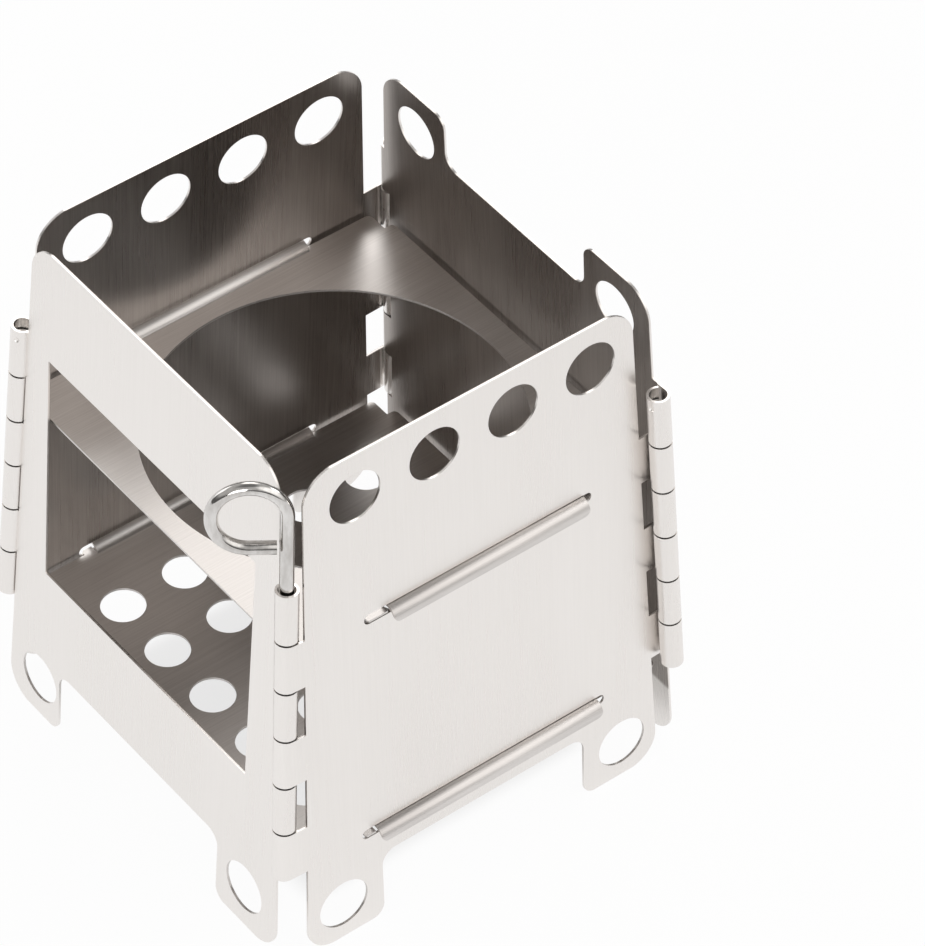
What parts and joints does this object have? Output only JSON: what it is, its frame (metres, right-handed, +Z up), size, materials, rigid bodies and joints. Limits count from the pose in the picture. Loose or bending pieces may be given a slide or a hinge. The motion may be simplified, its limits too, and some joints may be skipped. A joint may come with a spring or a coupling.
{
  "type": "twig stove",
  "caption": "Folding twig stove of hinged, tapering sheet steel walls with a feed window, hole rows, a ring plate and a grate in slots, and a pull-out lock pin with a wire loop.",
  "frame": {"origin": "on the ground, at the middle of the four walls", "axes": "+Z up, +X to the right of the feed window seen from in front, -Y towards the wall with the feed window"},
  "size_m": [0.1377, 0.1412, 0.166],
  "materials": {
    "wall_steel": "satin stainless sheet",
    "plate_steel": "brushed stainless sheet",
    "pin_steel": "bright drawn stainless wire"
  },
  "bodies": {
    "stove": {"door_panel": "wall_steel", "right_panel": "wall_steel", "rear_panel": "wall_steel", "left_panel": "wall_steel", "ring_plate": "plate_steel", "grate_plate": "plate_steel", "left_front_hinge_pin": "pin_steel", "left_rear_hinge_pin": "pin_steel", "right_rear_hinge_pin": "pin_steel"},
    "lock_pin": {"lock_pin": "pin_steel"}
  },
  "joints": [
    {"name": "lock_pin_slide", "type": "slide", "parent": "stove", "child": "lock_pin", "axis": [-0.051, 0.0636, 0.9967], "range_m": [0, 0.105]}
  ]
}
